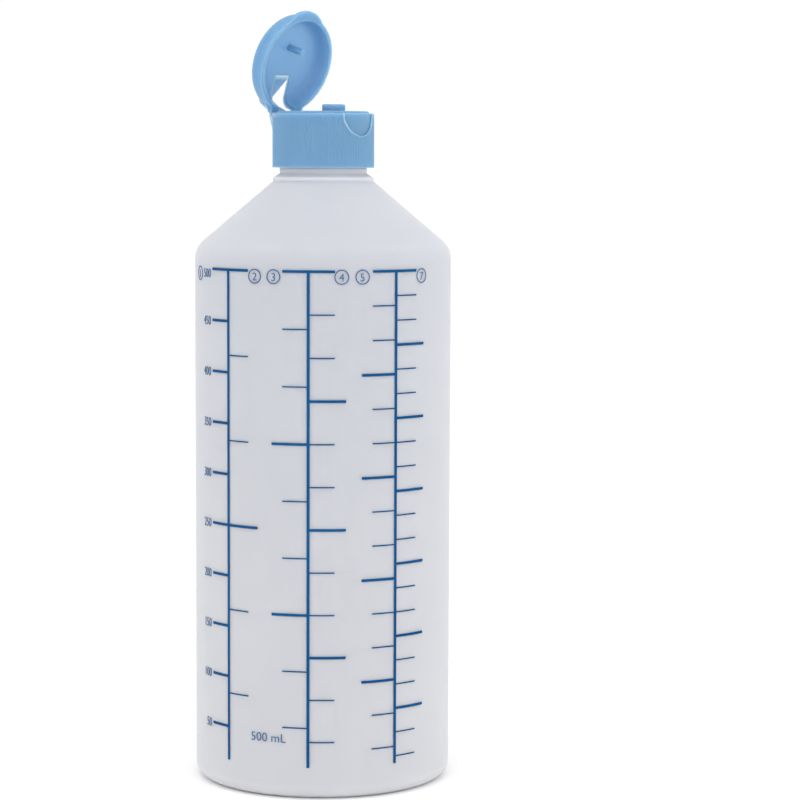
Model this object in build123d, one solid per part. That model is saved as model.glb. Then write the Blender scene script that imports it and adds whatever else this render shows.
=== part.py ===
from build123d import *
import os
from math import cos, radians, sin, tan

# Graduated 500 mL squeeze bottle with a hinged flip-top screw cap.
# Millimetres, +Z up. The origin is the centre of the standing ring, the cap's thumb notch
# faces -Y, and the lid's hinge line runs along X at the back of the cap.

# ---- driving dimensions -------------------------------------------------------------------

# bottle body
BODY_R = 35.0              # outside radius of the cylindrical wall
WALL = 0.8                 # wall thickness of the body
BASE_FILLET = 4.0          # outside radius round the foot of the wall
STAND_R = 28.0             # inner radius of the standing ring
PUSH_UP = 3.0              # height of the domed base above the standing ring
PUSH_UP_R = 14.0           # flat middle of the domed base
PUSH_UP_ROUND = 10.0       # rounding round that flat middle
RING_ROUND = 1.5           # rounding on the inside of the standing ring
SHOULDER_BREAK_Z = 145.8   # height where wall and shoulder cone would meet
SHOULDER_ANGLE = 40.5      # shoulder cone above horizontal, degrees
SHOULDER_FILLET = 6.0      # rounding between wall and shoulder cone

# neck and thread (24 mm finish, 8 threads per inch)
COLLAR_R = 13.75           # short collar where the shoulder ends
COLLAR_EDGE = 1.0          # height of the collar's upright edge
COLLAR_H = 2.1             # height to the top of its sloped upper side
COLLAR_ROUND = 0.35
LAND_R = 11.9              # plain land that runs up into the cap's mouth
LAND_TOP_Z = 168.0
LAND_CHAMFER = 0.4
NECK_R = 10.85             # neck wall under the thread
NECK_BORE_R = 9.3
NECK_ROUND = 0.3           # rounding on the sealing rim
NECK_TOP_Z = 179.9
THREAD_R = 11.85           # crest of the neck's thread
PITCH = 3.175
THREAD_TURNS = 1.5
THREAD_Z = 170.6           # where the neck's thread starts
THREAD_WIDTH = 1.5         # at the root
CREST_WIDTH = 0.7
THREAD_SUNK = 0.25         # how far a ridge reaches into the wall that carries it

# cap base
CAP_R = 13.9               # outside radius of the skirt, over the ribs
RIB_DEPTH = 0.10
RIB_COUNT = 150
PLAIN_FOOT = 0.5           # height of the plain ring under the ribs
PLAIN_BAND = 1.2           # height of the plain band over the ribs
EDGE_ROUND = 0.3           # rounding on the band's rim
CAP_BOTTOM_Z = 167.7
LEDGE_Z = 182.4            # rim that the closed lid rests on; also the hinge height
DECK_R = 12.45             # raised deck inside the lid
DECK_TOP_Z = 183.0
DECK_ROUND = 0.5
CEILING_Z = 180.9          # underside of the deck
SKIRT_BORE_R = 12.25
CAP_THREAD_R = 11.2        # crest of the cap's inner thread
CAP_THREAD_TURNS = 1.25
CAP_THREAD_Z = 169.6       # where the cap's thread starts
CAP_THREAD_ANGLE = 66.4    # turned so that it lies midway between the neck's ridges
SPOUT_Y = -3.8
SPOUT_R = 3.15
SPOUT_TOP_Z = 184.85
SPOUT_ROUND = 0.3
ORIFICE_R = 1.25
NOTCH_R = 5.6              # thumb notch in the front of the skirt
NOTCH_DROP = 0.5           # centre of the notch below the ledge
NOTCH_FLOOR_R = 13.5
LINE_WIDTH = 0.5           # raised line round the notch
LINE_PROUD = 0.15
GASKET_R = 11.8
GASKET_BORE_R = 9.0

# hinge
HINGE_Y = 13.8
FILM_R = 0.3               # half thickness of the film hinge
FILM_INNER_X = 3.1
FILM_OUTER_X = 6.3
LUG_LOW_Z = 175.9          # where the lugs under the hinge line run out into the skirt
LUG_LOW_Y = 11.9
RUNNING_GAP = 0.06
OPEN_ANGLE = 72.5          # how far the lid stands open at rest, degrees from closed

# lid
LID_R = 13.6
LID_DEPTH = 5.4
LID_ROUND = 2.6            # outer edge rounding
LID_WALL = 1.1
LID_BOWL_ROUND = 3.0       # rounding inside, between top and wall
LID_GAP = 0.08             # parting line between closed lid and ledge
LID_LUG_IN = 3.0           # the lid's lugs slope inwards over this depth from the hinge line
LID_LUG_LOW = 1.2          # height over the ledge where the slope starts
SLOT_HALF = 3.0            # half width of the slot that the strap lies in
SLOT_REACH = 9.7           # how far the slot reaches in from the hinge
LIP_PROUD = 1.6            # thumb lip, a crescent on the front of the rim
LIP_H = 1.5
LIP_CURVE_R = 8.2          # the lip's front edge is more curved than the lid
LIP_ROUND = 0.6
PIN_R = 0.95
PIN_TIP_R = 0.8
PIN_TAPER = 1.2            # length of the pin's tapered tip
PIN_END_Z = 181.5          # where the pin's tip lies with the lid closed

# snap strap
STRAP_HALF = 2.4
STRAP_T = 0.95
STRAP_FOOT = (16.3, 182.1)             # (y, z) of the middle of its foot, and of its bend
STRAP_BEND = (22.5, 186.5)
STRAP_BEND_R = 1.2
STRAP_REACH = 9.0          # how far from the hinge line its stiff part ends
STRAP_FILM_T = 0.4         # its thin end, where it bends against the lid
WEDGE_Y = 18.2             # back of the wedge that carries the strap
WEDGE_TOP_Z = 182.1
WEDGE_FOOT = (15.3, 172.6)             # (y, z) where its sloping back turns in to the skirt
WEDGE_LOW_Z = 171.0
WEDGE_EDGE = 0.2           # bevel on the wedge's upper edge
GUSSET = 2.2               # height of the thickened foot of the strap

# printed graduations
INK = 0.1                  # thickness of the printed layer
ZERO_Z = 4.3               # height of the 0 mL level
FULL_Z = 140.8             # height of the 500 mL line
AXIS_ANGLES = (-93.5, -53.9, -14.1)    # azimuth of the three vertical lines, from -Y towards +X
AXIS_WIDTH = 0.78
AXIS_START = 4.5           # the vertical lines start this far above the 0 mL level
THICK = 0.72
THIN = 0.34
LONG_TICK = 10.0
SHORT_TICK = 7.0

SHOULDER_SLOPE = tan(radians(SHOULDER_ANGLE))
WALL_RISE = WALL / cos(radians(SHOULDER_ANGLE))     # the cone's wall thickness, measured upright
COLLAR_Z = SHOULDER_BREAK_Z + (BODY_R - COLLAR_R) * SHOULDER_SLOPE
FOOT = (Align.CENTER, Align.CENTER, Align.MIN)
CORNER = (Align.MIN, Align.MIN, Align.MIN)


def disc(radius, low, high, x=0, y=0):
    """An upright cylinder between two heights."""
    return Pos(x, y, low) * Cylinder(radius, high - low, align=FOOT)


def block(low, high):
    """A box between two opposite corners."""
    size = [b - a for a, b in zip(low, high)]
    return Pos(*low) * Box(*size, align=CORNER)


def top_edges(shape):
    return shape.edges().group_by(Axis.Z)[-1]


def across(points, half_width, centre=0):
    """A closed outline of (y, z) points, extruded along X about the given centre."""
    face = make_face(Plane.YZ * Polyline(*points, close=True))
    return Pos(centre, 0, 0) * extrude(face, half_width, both=True)


def lathe(points, radii=None):
    """A (radius, height) outline turned round Z; radii round its inner corners, in order."""
    run = FilletPolyline(*points, radius=radii) if radii else Polyline(*points)
    close = Polyline(points[-1], (0, points[-1][1]), (0, points[0][1]), points[0])
    return revolve(Plane.XZ * make_face(run + close), Axis.Z)


def thread(root_r, crest_r, turns):
    """A helical ridge from height 0 up, sunk slightly into the wall that carries it."""
    root = root_r + (THREAD_SUNK if crest_r < root_r else -THREAD_SUNK)
    outline = [
        (root, -THREAD_WIDTH / 2),
        (crest_r, -CREST_WIDTH / 2),
        (crest_r, CREST_WIDTH / 2),
        (root, THREAD_WIDTH / 2),
    ]
    section = make_face(Plane.XZ * Polyline(*outline, close=True))
    return sweep(section, path=Helix(PITCH, PITCH * turns, root), is_frenet=True)


# ---- bottle -------------------------------------------------------------------------------

def make_bottle():
    outside = lathe(
        [(0.01, PUSH_UP), (PUSH_UP_R, PUSH_UP), (STAND_R, 0), (BODY_R, 0),
         (BODY_R, SHOULDER_BREAK_Z), (COLLAR_R, COLLAR_Z)],
        [PUSH_UP_ROUND, RING_ROUND, BASE_FILLET, SHOULDER_FILLET],
    )
    inner_r = BODY_R - WALL
    cone_top = SHOULDER_BREAK_Z + (BODY_R - NECK_BORE_R) * SHOULDER_SLOPE - WALL_RISE
    inside = lathe(
        [(0.01, PUSH_UP + WALL), (PUSH_UP_R, PUSH_UP + WALL), (STAND_R, WALL), (inner_r, WALL),
         (inner_r, SHOULDER_BREAK_Z + WALL * SHOULDER_SLOPE - WALL_RISE), (NECK_BORE_R, cone_top)],
        [PUSH_UP_ROUND, RING_ROUND, BASE_FILLET - WALL, SHOULDER_FILLET - WALL],
    )
    collar = lathe(
        [(COLLAR_R, COLLAR_Z - COLLAR_EDGE / 2), (COLLAR_R, COLLAR_Z + COLLAR_EDGE),
         (LAND_R, COLLAR_Z + COLLAR_H), (LAND_R, LAND_TOP_Z)],
        [COLLAR_ROUND, COLLAR_ROUND],
    )
    collar = chamfer(top_edges(collar), LAND_CHAMFER)
    neck = disc(NECK_R, COLLAR_Z, NECK_TOP_Z)
    neck = fillet(top_edges(neck), NECK_ROUND)
    ridge = Pos(0, 0, THREAD_Z) * thread(NECK_R, THREAD_R, THREAD_TURNS)
    bottle = outside + collar + neck + ridge
    return bottle - inside - disc(NECK_BORE_R, cone_top - 1, NECK_TOP_Z + 1)


# ---- printed graduations --------------------------------------------------------------------

def print_patch(azimuth, left, right, low, high):
    """A printed rectangle on the wall: arc lengths left and right of an azimuth, two heights."""
    start = azimuth + left / radians(1) / BODY_R
    sweep_angle = (right - left) / radians(1) / BODY_R
    section = Plane.XZ * Pos(BODY_R + INK / 2, (low + high) / 2) * Rectangle(INK, high - low)
    return Rot(0, 0, start - 90) * revolve(section, Axis.Z, sweep_angle)


def make_scale(azimuth, left_marks, right_marks):
    """A vertical line with a bar on top and graduation lines on both sides.

    A side's marks are (number of parts, parts per long line): the level is divided into
    that many equal parts, and the lines that fall on a whole share are long and thick.
    """
    comb = print_patch(azimuth, -AXIS_WIDTH / 2, AXIS_WIDTH / 2, ZERO_Z + AXIS_START, FULL_Z)
    comb += print_patch(azimuth, -SHORT_TICK, SHORT_TICK, FULL_Z - THICK / 2, FULL_Z + THICK / 2)
    for side, (parts, share, long_tick) in ((-1, left_marks), (1, right_marks)):
        for part in range(1, parts):
            whole = part % share == 0
            length = long_tick if whole else SHORT_TICK
            half = (THICK if whole else THIN) / 2
            level = ZERO_Z + (FULL_Z - ZERO_Z) * part / parts
            ends = sorted((0, side * length))
            comb += print_patch(azimuth, *ends, level - half, level + half)
    return comb


# ---- cap ----------------------------------------------------------------------------------

def make_skirt_outside():
    """The skirt with fine upright ribs between a plain foot and a plain top band."""
    step = 360 / RIB_COUNT
    outline = []
    for rib in range(RIB_COUNT):
        outline.append(Vector(CAP_R, 0).rotate(Axis.Z, rib * step))
        outline.append(Vector(CAP_R - RIB_DEPTH, 0).rotate(Axis.Z, (rib + 0.5) * step))
    ribs = extrude(make_face(Polyline(*outline, close=True)), LEDGE_Z - PLAIN_BAND - CAP_BOTTOM_Z)
    foot = disc(CAP_R - RIB_DEPTH / 2, CAP_BOTTOM_Z, CAP_BOTTOM_Z + PLAIN_FOOT)
    band = disc(CAP_R, LEDGE_Z - PLAIN_BAND, LEDGE_Z)
    band = fillet(top_edges(band), EDGE_ROUND)
    return Pos(0, 0, CAP_BOTTOM_Z) * ribs + foot + band


def make_hinge_lugs():
    """Two lugs that fill the corner between the round skirt and the straight hinge line."""
    lugs = []
    outline = [
        (LUG_LOW_Y, LEDGE_Z),
        (HINGE_Y, LEDGE_Z),
        (HINGE_Y, LEDGE_Z - PLAIN_BAND),
        (LUG_LOW_Y, LUG_LOW_Z),
    ]
    middle = (FILM_INNER_X + FILM_OUTER_X) / 2
    for side in (-1, 1):
        lugs.append(across(outline, (FILM_OUTER_X - FILM_INNER_X) / 2, side * middle))
    return lugs


def make_wedge():
    """The wedge behind the skirt that the strap stands on."""
    root_y = SKIRT_BORE_R + 0.5
    outline = [
        (root_y, WEDGE_TOP_Z),
        (WEDGE_Y - WEDGE_EDGE, WEDGE_TOP_Z),
        (WEDGE_Y, WEDGE_TOP_Z - WEDGE_EDGE),
        (WEDGE_Y - WEDGE_EDGE / 2, WEDGE_TOP_Z - 3 * WEDGE_EDGE),
        WEDGE_FOOT,
        (CAP_R - 0.4, WEDGE_LOW_Z),
        (root_y, WEDGE_LOW_Z),
    ]
    return across(outline, STRAP_HALF)


def make_cap_base():
    solid = make_skirt_outside() + make_wedge()
    deck = disc(DECK_R, LEDGE_Z - 0.5, DECK_TOP_Z)
    solid += fillet(top_edges(deck), DECK_ROUND)
    for lug in make_hinge_lugs():
        solid += lug
    spout = disc(SPOUT_R, DECK_TOP_Z - 0.5, SPOUT_TOP_Z, y=SPOUT_Y)
    solid += fillet(top_edges(spout), SPOUT_ROUND)
    # thumb notch with its raised line, then the bores
    centre = Pos(0, 0, LEDGE_Z - NOTCH_DROP) * Rot(90, 0, 0)
    front = block((-CAP_R, -CAP_R - 2, CAP_BOTTOM_Z), (CAP_R, -NOTCH_FLOOR_R / 2, LEDGE_Z))
    line = centre * extrude(Circle(NOTCH_R + LINE_WIDTH) - Circle(NOTCH_R), CAP_R + 1)
    line &= front
    solid += line & disc(CAP_R + LINE_PROUD, CAP_BOTTOM_Z, LEDGE_Z)
    scoop = centre * extrude(Circle(NOTCH_R), CAP_R + 2)
    scoop += block((-NOTCH_R, -CAP_R - 2, LEDGE_Z - NOTCH_DROP), (NOTCH_R, 0, LEDGE_Z + 0.01))
    scoop -= disc(NOTCH_FLOOR_R, CAP_BOTTOM_Z - 1, DECK_TOP_Z + 1)
    solid -= scoop & block((-CAP_R, -CAP_R - 2, CAP_BOTTOM_Z), (CAP_R, 0, LEDGE_Z + 0.01))
    solid -= disc(SKIRT_BORE_R, CAP_BOTTOM_Z - 1, CEILING_Z)
    solid -= disc(ORIFICE_R, CEILING_Z - 1, SPOUT_TOP_Z + 1, y=SPOUT_Y)
    solid -= Pos(0, HINGE_Y, LEDGE_Z) * Rot(0, 90, 0) * Cylinder(FILM_R, 2 * FILM_OUTER_X)
    ridge = Pos(0, 0, CAP_THREAD_Z) * Rot(0, 0, CAP_THREAD_ANGLE)
    return solid + ridge * thread(SKIRT_BORE_R, CAP_THREAD_R, CAP_THREAD_TURNS)


def make_films():
    """The two film hinges, drawn as thin rods on the bending line."""
    length = FILM_OUTER_X - FILM_INNER_X
    middle = (FILM_INNER_X + FILM_OUTER_X) / 2
    rods = []
    for side in (-1, 1):
        rods.append(Pos(side * middle, HINGE_Y, LEDGE_Z) * Rot(0, 90, 0) * Cylinder(FILM_R, length))
    return Compound(children=rods)


def make_gasket():
    return disc(GASKET_R, NECK_TOP_Z, CEILING_Z) - disc(GASKET_BORE_R, NECK_TOP_Z - 1, CEILING_Z + 1)


# ---- lid, drawn closed ----------------------------------------------------------------------

def make_lid():
    rim_z = LEDGE_Z + LID_GAP
    top_z = LEDGE_Z + LID_DEPTH
    outer = disc(LID_R, rim_z, top_z)
    outer = fillet(top_edges(outer), LID_ROUND)
    lug = [
        (HINGE_Y - LID_LUG_IN, rim_z),
        (HINGE_Y, rim_z),
        (HINGE_Y, LEDGE_Z + LID_LUG_LOW),
        (HINGE_Y - LID_LUG_IN, LEDGE_Z + LID_LUG_LOW + LID_LUG_IN),
    ]
    middle = (FILM_INNER_X + FILM_OUTER_X) / 2
    for side in (-1, 1):
        outer += across(lug, (FILM_OUTER_X - FILM_INNER_X) / 2, side * middle)
    inner = disc(LID_R - LID_WALL, rim_z - 1, top_z - LID_WALL)
    inner = fillet(top_edges(inner), LID_BOWL_ROUND)
    lid = outer - inner
    lip = disc(LIP_CURVE_R, rim_z, rim_z + LIP_H, y=LIP_CURVE_R - LID_R - LIP_PROUD)
    lip = fillet(top_edges(lip), LIP_ROUND)
    lid += lip - disc(LID_R - LID_WALL / 2, rim_z - 1, top_z)
    pin_root = top_z - LID_WALL / 2
    pin = lathe([(PIN_TIP_R, PIN_END_Z), (PIN_R, PIN_END_Z + PIN_TAPER), (PIN_R, pin_root)])
    lid += Pos(0, SPOUT_Y, 0) * pin
    slot_end = HINGE_Y - SLOT_REACH
    lid -= block((-SLOT_HALF, slot_end, rim_z - 1), (SLOT_HALF, HINGE_Y + 3, top_z + 1))
    clearance = Rot(0, 90, 0) * Cylinder(FILM_R + RUNNING_GAP, 4 * FILM_OUTER_X)
    return lid - Pos(0, HINGE_Y, LEDGE_Z) * clearance


def swing(shape, angle=OPEN_ANGLE):
    """Turn a shape backwards about the hinge line."""
    return Pos(0, HINGE_Y, LEDGE_Z) * Rot(-angle, 0, 0) * Pos(0, -HINGE_Y, -LEDGE_Z) * shape


def make_strap():
    """The bent spring strap from the wedge to the inner end of the open lid's slot."""
    off_lid = LID_DEPTH - STRAP_T / 2
    turn = radians(OPEN_ANGLE)
    end_y = HINGE_Y - STRAP_REACH * cos(turn) + off_lid * sin(turn)
    end_z = LEDGE_Z + STRAP_REACH * sin(turn) + off_lid * cos(turn)
    centre = FilletPolyline(STRAP_FOOT, STRAP_BEND, (end_y, end_z), radius=STRAP_BEND_R)
    strap = extrude(Plane.YZ * trace(centre, STRAP_T), STRAP_HALF, both=True)
    foot_y, foot_z = STRAP_FOOT
    gusset = [
        (foot_y - GUSSET / 2, foot_z),
        (WEDGE_Y - WEDGE_EDGE, foot_z),
        (foot_y + 1.2 * GUSSET, foot_z + GUSSET / 2),
        (foot_y + 0.9 * GUSSET, foot_z + GUSSET),
        (foot_y - 0.3 * GUSSET, foot_z + 0.4 * GUSSET),
    ]
    strap += across(gusset, STRAP_HALF)
    film_z = LEDGE_Z + off_lid
    film = block(
        (-STRAP_HALF, HINGE_Y - SLOT_REACH, film_z - STRAP_FILM_T / 2),
        (STRAP_HALF, HINGE_Y - STRAP_REACH, film_z + STRAP_FILM_T / 2),
    )
    strap += swing(film)
    return strap - swing(make_lid()) - block((-5, 0, CAP_BOTTOM_Z), (5, WEDGE_Y + 1, WEDGE_TOP_Z))


# ---- write every sub-part -------------------------------------------------------------------

os.makedirs("parts", exist_ok=True)
nodes = {
    "bottle": make_bottle(),
    "cap_base": make_cap_base(),
    "gasket": make_gasket(),
    "film_hinges": make_films(),
    "hinge_strap": make_strap(),
    "flip_lid": swing(make_lid()),
    "scale_left": make_scale(AXIS_ANGLES[0], (10, 1, SHORT_TICK), (6, 3, LONG_TICK)),
    "scale_middle": make_scale(AXIS_ANGLES[1], (9, 3, LONG_TICK), (12, 3, LONG_TICK)),
    "scale_right": make_scale(AXIS_ANGLES[2], (15, 3, LONG_TICK), (21, 3, LONG_TICK)),
}
for name, shape in nodes.items():
    export_step(shape, f"parts/{name}.step")
    print(name, round(shape.volume, 1), shape.bounding_box())
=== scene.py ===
import math

import bmesh
import bpy
from mathutils import Matrix, Vector
from mathutils.bvhtree import BVHTree


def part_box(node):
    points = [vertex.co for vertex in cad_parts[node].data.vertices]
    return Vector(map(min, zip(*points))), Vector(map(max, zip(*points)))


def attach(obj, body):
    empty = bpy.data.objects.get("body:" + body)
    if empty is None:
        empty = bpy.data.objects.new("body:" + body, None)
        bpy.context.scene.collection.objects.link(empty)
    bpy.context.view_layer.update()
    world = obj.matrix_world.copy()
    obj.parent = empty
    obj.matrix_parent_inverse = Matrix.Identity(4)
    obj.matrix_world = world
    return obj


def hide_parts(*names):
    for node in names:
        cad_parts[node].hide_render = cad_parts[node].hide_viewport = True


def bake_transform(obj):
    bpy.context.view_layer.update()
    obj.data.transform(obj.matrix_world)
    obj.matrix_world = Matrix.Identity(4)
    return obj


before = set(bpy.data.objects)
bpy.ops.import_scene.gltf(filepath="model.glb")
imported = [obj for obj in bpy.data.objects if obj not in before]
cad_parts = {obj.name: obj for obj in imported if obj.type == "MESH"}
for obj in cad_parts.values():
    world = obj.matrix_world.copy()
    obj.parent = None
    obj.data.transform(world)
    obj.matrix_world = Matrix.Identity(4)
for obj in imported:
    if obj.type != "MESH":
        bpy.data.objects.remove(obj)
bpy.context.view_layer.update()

MM = 0.001

# A graduated squeeze bottle with a hinged flip-top cap. Metres, +Z up, in the CAD's own frame:
# the cap's thumb notch faces -Y, and the lid's hinge line runs along X at the back of the cap.

# ---- places read from the frame ---------------------------------------------------------------

bottle_low, bottle_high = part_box("bottle")
BODY_R = bottle_high.x
SCALE_LOW, SCALE_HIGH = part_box("scale_middle")[0].z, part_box("scale_middle")[1].z
LINE_HALF = 0.36 * MM                   # half of a thick graduation line
AXIS_START = 4.5 * MM                   # the upright lines start this far above the 0 mL level
FULL_Z = SCALE_HIGH - LINE_HALF         # height of the 500 mL line
ZERO_Z = SCALE_LOW - AXIS_START         # height of the 0 mL level
INK_T = 0.1 * MM                        # thickness of the printed layer
cap_mouth_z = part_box("cap_base")[0].z

# azimuths are degrees from -Y towards +X, seen from above
LEFT_SCALE, MIDDLE_SCALE, RIGHT_SCALE = -93.5, -53.9, -14.1
FULL_ML = 500


# ---- node helpers -----------------------------------------------------------------------------

class Nodes:
    """A short way to write a node material."""

    def __init__(self, name):
        self.material = bpy.data.materials.new(name)
        self.material.use_nodes = True
        self.tree = self.material.node_tree
        self.shader = self.tree.nodes["Principled BSDF"]

    def add(self, kind, inputs=None, **settings):
        node = self.tree.nodes.new(kind)
        for key, value in settings.items():
            setattr(node, key, value)
        for key, value in (inputs or {}).items():
            if isinstance(value, bpy.types.NodeSocket):
                self.tree.links.new(value, node.inputs[key])
            else:
                node.inputs[key].default_value = value
        return node

    def noise(self, scale, detail=2.0, stretch=(1, 1, 1)):
        place = self.add("ShaderNodeTexCoord").outputs["Object"]
        place = self.add("ShaderNodeMapping", {"Vector": place, "Scale": stretch}).outputs["Vector"]
        noise = self.add("ShaderNodeTexNoise", {"Vector": place, "Scale": scale, "Detail": detail})
        return noise.outputs["Fac"]

    def ramp(self, value, low, high, colours):
        ramp = self.add("ShaderNodeValToRGB", {"Fac": value})
        for stop, place, colour in zip(ramp.color_ramp.elements, (low, high), colours):
            stop.position = place
            stop.color = (*colour, 1.0)
        return ramp.outputs["Color"]

    def span(self, value, low, high):
        inputs = {"Value": value, "To Min": low, "To Max": high}
        return self.add("ShaderNodeMapRange", inputs).outputs["Result"]

    def bump(self, height, strength, distance, under=None):
        inputs = {"Height": height, "Strength": strength, "Distance": distance}
        if under is not None:
            inputs["Normal"] = under
        return self.add("ShaderNodeBump", inputs).outputs["Normal"]

    def link(self, value, socket):
        self.tree.links.new(value, self.shader.inputs[socket])


# scales of the noise textures
COLOUR_DRIFT = 28.0
FLOW_WAVES = 90.0
GLOSS_PATCHES = 420.0
DIE_STREAKS = 520.0
FINE_GRAIN = 3800.0

GLOSS_SPREAD = 0.05                     # how far the roughness strays from its mean
WAVE_STRENGTH = 0.35
WAVE_HEIGHT = 0.1 * MM
GRAIN_HEIGHT = 0.06 * MM


def plastic(name, dark, light, roughness, grain, subsurface=0.0, radius=(1, 1, 1), depth=0.0, gloss=0.4):
    """Moulded plastic: slow colour drift, fine grain, faint flow waves."""
    n = Nodes(name)
    n.link(n.ramp(n.noise(COLOUR_DRIFT, 3.0), 0.3, 0.7, (dark, light)), "Base Color")
    patches = n.noise(GLOSS_PATCHES)
    n.link(n.span(patches, roughness - GLOSS_SPREAD, roughness + GLOSS_SPREAD), "Roughness")
    fine = n.bump(n.noise(FINE_GRAIN), grain, GRAIN_HEIGHT)
    n.link(n.bump(n.noise(FLOW_WAVES, 1.0), WAVE_STRENGTH, WAVE_HEIGHT, fine), "Normal")
    n.shader.inputs["Subsurface Weight"].default_value = subsurface
    n.shader.inputs["Subsurface Radius"].default_value = radius
    n.shader.inputs["Subsurface Scale"].default_value = depth
    n.shader.inputs["Specular IOR Level"].default_value = gloss
    return n


def die_lines(n, strength):
    """Faint upright streaks, drawn out when the hollow blank was extruded."""
    streaks = n.noise(DIE_STREAKS, stretch=(1, 1, 0.006))
    under = n.shader.inputs["Normal"].links[0].from_socket
    n.link(n.bump(streaks, strength, WAVE_HEIGHT, under), "Normal")


def height_tint(n, low, high, colours):
    """Multiply the colour by a tint that changes with height, from the first colour to the second."""
    place = n.add("ShaderNodeTexCoord").outputs["Object"]
    height = n.add("ShaderNodeSeparateXYZ", {"Vector": place}).outputs["Z"]
    inputs = {"Value": height, "From Min": low, "From Max": high}
    share = n.add("ShaderNodeMapRange", inputs).outputs["Result"]
    tint = n.ramp(share, 0.0, 1.0, colours)
    base = n.shader.inputs["Base Color"].links[0].from_socket
    mix = n.add("ShaderNodeMix", data_type="RGBA", blend_type="MULTIPLY")
    mix.inputs[0].default_value = 1.0
    n.tree.links.new(base, mix.inputs[6])
    n.tree.links.new(tint, mix.inputs[7])
    n.link(mix.outputs[2], "Base Color")


NECK_PAINTED_LIGHT_LOW = cap_mouth_z - 2.5 * MM       # painted light: the neck just under the cap is whitened, to lift the shade that the cap casts there
WHITE = (1.0, 1.0, 1.0)
BLUE = ((0.130, 0.290, 0.476), (0.140, 0.305, 0.499))

polyethylene = plastic(
    "milky_polyethylene", (0.615, 0.620, 0.662), (0.640, 0.645, 0.686), roughness=0.50, grain=0.25,
    subsurface=1.0, radius=(1.0, 0.95, 0.9), depth=4.0 * MM, gloss=0.15,
)
# painted light and shade: the body is lighter towards the foot and darker and bluer towards the top of
# the scale and the shoulder
height_tint(polyethylene, bottle_low.z, SCALE_HIGH, ((1.04, 1.03, 1.01), (0.94, 0.95, 0.98)))
# painted light: a whiter band on the neck under the cap, in place of the cap's shade
height_tint(polyethylene, NECK_PAINTED_LIGHT_LOW, NECK_PAINTED_LIGHT_LOW + 1.0 * MM, (WHITE, (1.12, 1.11, 1.09)))
die_lines(polyethylene, 0.22)
polyethylene_skin = plastic(
    "polyethylene_skin", (0.600, 0.605, 0.645), (0.625, 0.630, 0.670), roughness=0.50, grain=0.25,
    gloss=0.15,
)
polypropylene = plastic(
    "blue_polypropylene", *BLUE, roughness=0.40, grain=0.35, subsurface=1.0, depth=5.0 * MM,
)
foam = plastic("foam_seal", (0.70, 0.70, 0.66), (0.80, 0.80, 0.77), roughness=0.80, grain=0.6)
print_ink = plastic(
    "screen_print_ink", (0.001, 0.062, 0.190), (0.002, 0.085, 0.240), roughness=0.55, grain=0.3,
    gloss=0.08,
)
fine_ink = plastic(
    "fine_print_ink", (0.045, 0.120, 0.270), (0.070, 0.160, 0.320), roughness=0.55, grain=0.3,
    gloss=0.08,
)


def dress(obj, material):
    obj.data.materials.clear()
    obj.data.materials.append(material.material)


for node, material in (
    ("bottle", polyethylene),
    ("gasket", foam),
    ("cap_base", polypropylene),
    ("film_hinges", polypropylene),
    ("flip_lid", polypropylene),
    ("scale_left", print_ink),
    ("scale_middle", print_ink),
    ("scale_right", print_ink),
):
    dress(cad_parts[node], material)


# ---- printed numerals -------------------------------------------------------------------------

CAPITAL_SHARE = 0.73                    # a capital's height over the type size
STROKE_OFFSET = -0.012                  # thins the strokes, as a share of the lettering's height
RING_STEPS = 48


def link_mesh(name, mesh):
    obj = bpy.data.objects.new(name, mesh)
    bpy.context.scene.collection.objects.link(obj)
    return obj


def text_mesh(text, height, align, width=1.0):
    """Flat lettering with a little thickness, its baseline at y 0, condensed where width is under 1."""
    curve = bpy.data.curves.new("lettering", "FONT")
    curve.body = text
    curve.size = height / CAPITAL_SHARE
    curve.align_x = align
    curve.offset = STROKE_OFFSET * height
    curve.extrude = INK_T / 2
    curve.resolution_u = 4
    holder = bpy.data.objects.new("lettering", curve)
    mesh = bpy.data.meshes.new_from_object(holder)
    bpy.data.objects.remove(holder)
    mesh.transform(Matrix.Diagonal((width, 1, 1, 1)))
    return mesh


def ring_mesh(radius, width):
    """A flat printed ring."""
    bm = bmesh.new()
    loops = []
    for r, z in ((radius, 0.5), (radius - width, 0.5), (radius - width, -0.5), (radius, -0.5)):
        loop = []
        for i in range(RING_STEPS):
            a = 2 * math.pi * i / RING_STEPS
            loop.append(bm.verts.new((r * math.cos(a), r * math.sin(a), z * INK_T)))
        loops.append(loop)
    for a, b in zip(loops, loops[1:] + loops[:1]):
        for i in range(RING_STEPS):
            after = (i + 1) % RING_STEPS
            bm.faces.new((a[i], b[i], b[after], a[after]))
    bmesh.ops.recalc_face_normals(bm, faces=bm.faces)
    mesh = bpy.data.meshes.new("ring")
    bm.to_mesh(mesh)
    bm.free()
    return mesh


def wrap(bm, mesh, azimuth, arc, height):
    """Add a flat mesh to bm, laid round the bottle's wall at an arc length from an azimuth."""
    mesh = mesh.copy()
    for v in mesh.vertices:
        angle = math.radians(azimuth) + (v.co.x + arc) / BODY_R
        radius = BODY_R + INK_T / 2 + v.co.z
        v.co = (radius * math.sin(angle), -radius * math.cos(angle), height + v.co.y)
    bm.from_mesh(mesh)
    bpy.data.meshes.remove(mesh)


def printed(name, bm):
    """Make the printed meshes gathered in bm one piece on the bottle."""
    mesh = bpy.data.meshes.new(name)
    bm.to_mesh(mesh)
    bm.free()
    obj = link_mesh(name, mesh)
    dress(obj, fine_ink)
    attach(obj, "bottle")


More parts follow.
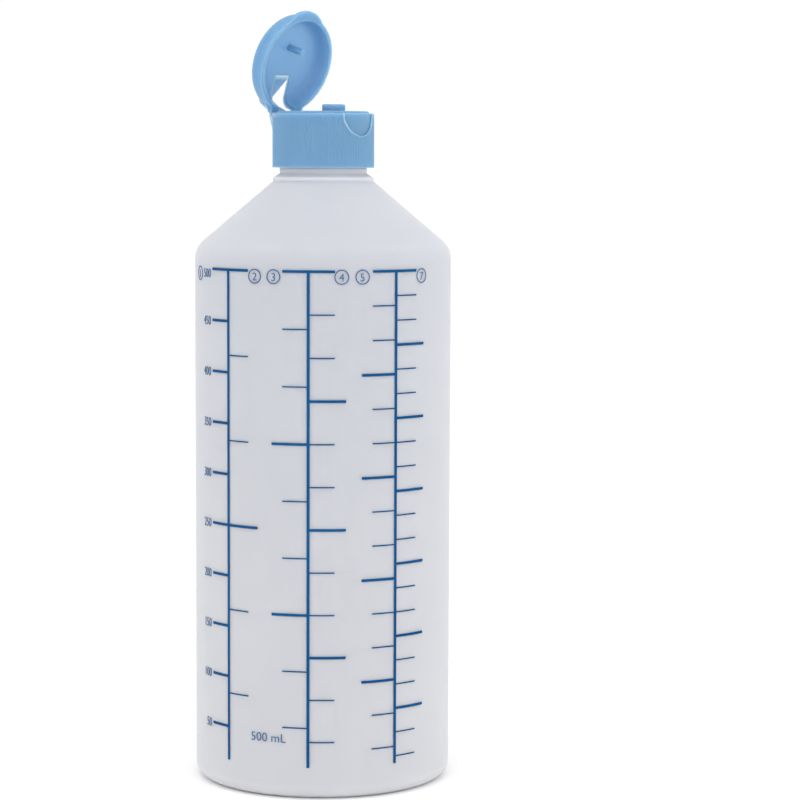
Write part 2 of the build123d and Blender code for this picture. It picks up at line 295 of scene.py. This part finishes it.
def make_volume_numerals():
    """The numerals every 50 mL, set with their right edges in line at the left scale."""
    bm = bmesh.new()
    digits = 2.5 * MM
    narrowed = 0.84
    right_edge = -7.9 * MM              # arc from the scale's upright line
    top_drop = 1.0 * MM                 # the top numeral sits this much lower than the others
    for level in range(50, FULL_ML + 1, 50):
        height = ZERO_Z + (FULL_Z - ZERO_Z) * level / FULL_ML
        low = height - 0.55 * digits
        if level == FULL_ML:
            low -= top_drop
        wrap(bm, text_mesh(str(level), digits, "RIGHT", narrowed), LEFT_SCALE, right_edge, low)
    printed("volume_numerals", bm)


def make_ratio_marks():
    """The ringed number over each side of a scale says into how many parts that side divides."""
    bm = bmesh.new()
    ring = ring_mesh(1.97 * MM, 0.27 * MM)
    digits = 2.2 * MM
    middle = FULL_Z - 1.45 * MM
    marks = (                           # number, scale, arc in mm from the scale's upright line
        (1, LEFT_SCALE, -15.2), (2, LEFT_SCALE, 9.1),
        (3, MIDDLE_SCALE, -9.5), (4, MIDDLE_SCALE, 8.8),
        (5, RIGHT_SCALE, -9.9), (7, RIGHT_SCALE, 9.1),
    )
    for number, azimuth, arc in marks:
        wrap(bm, ring, azimuth, arc * MM, middle)
        wrap(bm, text_mesh(str(number), digits, "CENTER"), azimuth, arc * MM, middle - digits / 2)
    printed("ratio_numerals", bm)


def make_capacity_mark():
    bm = bmesh.new()
    letters = 2.5 * MM
    arc, height = -11.2 * MM, ZERO_Z + 11.0 * MM
    wrap(bm, text_mesh("500 mL", letters, "CENTER"), MIDDLE_SCALE, arc, height)
    printed("capacity_mark", bm)


make_volume_numerals()
make_ratio_marks()
make_capacity_mark()


# ---- marks left by the moulds -------------------------------------------------------------------

SEAM_AZIMUTH = 45.0
SEAM_PROUD = 0.05 * MM
SEAM_HALF = 0.14 * MM
SEAM_BASE_STEPS = 24                    # points across half of the base
SEAM_BASE_START = 0.02                  # from here, as a share of the body's radius ...
SEAM_BASE_SPAN = 0.88                   # ... over this share of it
SEAM_WALL_STEPS = 90                    # points up one side
SEAM_WALL_FOOT = 2.5 * MM
SEAM_TOP_GAP = 4.0 * MM                 # the seam ends this far under the cap


def tube_along(bm, points, across, out, half, proud):
    """A low three-sided ridge along points; across and out give each point's side and outward way."""
    rings = []
    for point, side, away in zip(points, across, out):
        corners = (
            point - side * half - away * proud,
            point + away * proud,
            point + side * half - away * proud,
        )
        rings.append([bm.verts.new(corner) for corner in corners])
    for a, b in zip(rings, rings[1:]):
        for i in range(3):
            bm.faces.new((a[i], b[i], b[(i + 1) % 3], a[(i + 1) % 3]))
    bm.faces.new(rings[0])
    bm.faces.new(rings[-1][::-1])


def make_mould_seams():
    """The parting line of the two mould halves, up both sides and straight across the base."""
    wall = BVHTree.FromObject(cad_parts["bottle"], bpy.context.evaluated_depsgraph_get())
    bm = bmesh.new()
    for azimuth in (SEAM_AZIMUTH, SEAM_AZIMUTH + 180.0):
        a = math.radians(azimuth)
        away = Vector((math.sin(a), -math.cos(a), 0))
        side = Vector((math.cos(a), math.sin(a), 0))
        hits = []
        for i in range(SEAM_BASE_STEPS):
            share = SEAM_BASE_START + SEAM_BASE_SPAN * i / (SEAM_BASE_STEPS - 1)
            start = away * (BODY_R * share) - Vector((0, 0, BODY_R))
            hits.append(wall.ray_cast(start, Vector((0, 0, 1))))
        rise = cap_mouth_z - SEAM_TOP_GAP - SEAM_WALL_FOOT
        for i in range(SEAM_WALL_STEPS):
            z = bottle_low.z + SEAM_WALL_FOOT + rise * i / (SEAM_WALL_STEPS - 1)
            hits.append(wall.ray_cast(away * 2 * BODY_R + Vector((0, 0, z)), -away))
        points = [hit[0] for hit in hits]
        normals = [hit[1] for hit in hits]
        tube_along(bm, points, [side] * len(points), normals, SEAM_HALF, SEAM_PROUD)
    bmesh.ops.recalc_face_normals(bm, faces=bm.faces)
    mesh = bpy.data.meshes.new("mould_seams")
    bm.to_mesh(mesh)
    bm.free()
    obj = link_mesh("mould_seams", mesh)
    dress(obj, polyethylene_skin)
    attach(obj, "bottle")


make_mould_seams()


# ---- snap strap -------------------------------------------------------------------------------

strap_low, strap_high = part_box("hinge_strap")
FILM_H = 1.0 * MM                       # the strap's thin end, whitened by bending
REMESH_SIZE = 0.16 * MM
strap_plastic = plastic(
    "blue_polypropylene_strap", *BLUE, roughness=0.40, grain=0.35, subsurface=1.0, depth=5.0 * MM,
)
height_tint(
    strap_plastic, strap_high.z - 1.6 * FILM_H, strap_high.z - 0.5 * FILM_H, (WHITE, (2.6, 1.75, 1.3)),
)


def make_strap():
    """The flexible strap: the CAD strap's own outline, finely divided and smoothed."""
    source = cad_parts["hinge_strap"]
    obj = link_mesh("snap_strap", source.data.copy())
    remesh = obj.modifiers.new("remesh", "REMESH")
    remesh.mode = "VOXEL"
    remesh.voxel_size = REMESH_SIZE
    smooth = obj.modifiers.new("smooth", "SMOOTH")
    smooth.iterations = 4
    bpy.context.view_layer.update()
    depsgraph = bpy.context.evaluated_depsgraph_get()
    mesh = bpy.data.meshes.new_from_object(obj.evaluated_get(depsgraph))
    obj.modifiers.clear()
    obj.data = mesh
    for polygon in mesh.polygons:
        polygon.use_smooth = True
    dress(obj, strap_plastic)
    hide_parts("hinge_strap")
    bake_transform(obj)


make_strap()


# ---- camera, light and floor --------------------------------------------------------------------

def make_camera():
    """The photo's view, fitted to the outline of the bottle and cap."""
    azimuth = math.radians(-47.5)
    distance, height = 0.7504, 0.1737
    pan, tilt, roll = math.radians(1.619), math.radians(5.312), math.radians(0.222)
    place = Vector((distance * math.sin(azimuth), -distance * math.cos(azimuth), height))
    heading = Matrix.Rotation(azimuth - pan, 3, "Z")
    ahead = heading @ Vector((0, math.cos(tilt), -math.sin(tilt)))
    right = heading @ Vector((1, 0, 0))
    up = right.cross(ahead)
    right, up = (
        math.cos(roll) * right + math.sin(roll) * up,
        math.cos(roll) * up - math.sin(roll) * right,
    )
    data = bpy.data.cameras.new("camera")
    data.lens = 123.06
    data.sensor_width = 36.0
    camera = bpy.data.objects.new("camera", data)
    axes = Matrix((right, up, -ahead)).transposed()
    camera.matrix_world = Matrix.Translation(place) @ axes.to_4x4()
    bpy.context.scene.collection.objects.link(camera)
    bpy.context.scene.camera = camera


def make_light(name, azimuth, elevation, distance, size, power):
    """A square lamp that faces the lower part of the bottle from an azimuth and elevation."""
    a, e = math.radians(azimuth), math.radians(elevation)
    toward = Vector((math.cos(e) * math.sin(a), -math.cos(e) * math.cos(a), math.sin(e)))
    data = bpy.data.lights.new(name, "AREA")
    data.size = size
    data.energy = power
    lamp = bpy.data.objects.new(name, data)
    lamp.location = toward * distance + Vector((0, 0, 0.1))
    lamp.rotation_euler = toward.to_track_quat("Z", "Y").to_euler()
    bpy.context.scene.collection.objects.link(lamp)


def make_floor():
    """The floor lies just under the standing ring, clear of the seam's ridge."""
    bm = bmesh.new()
    bmesh.ops.create_circle(bm, cap_ends=True, segments=96, radius=6.0)
    mesh = bpy.data.meshes.new("floor")
    bm.to_mesh(mesh)
    bm.free()
    floor = link_mesh("floor", mesh)
    floor.location.z = bottle_low.z - SEAM_PROUD
    n = Nodes("pale_floor")
    n.shader.inputs["Base Color"].default_value = (0.985, 0.985, 0.985, 1)
    n.shader.inputs["Roughness"].default_value = 0.9
    n.shader.inputs["Specular IOR Level"].default_value = 0.0
    floor.data.materials.append(n.material)


def make_world():
    world = bpy.data.worlds.new("studio")
    bpy.context.scene.world = world
    world.use_nodes = True
    backdrop = world.node_tree.nodes["Background"]
    backdrop.inputs["Color"].default_value = (1, 1, 1, 1)
    backdrop.inputs["Strength"].default_value = 1.03


bpy.context.scene.view_settings.view_transform = "Standard"
make_camera()
make_world()
make_floor()
make_light("key", -60, 76, 1.2, 0.9, 2.6)
make_light("front", -55, 8, 1.6, 1.2, 3.2)
make_light("fill", -12, 4, 1.3, 0.9, 2.4)
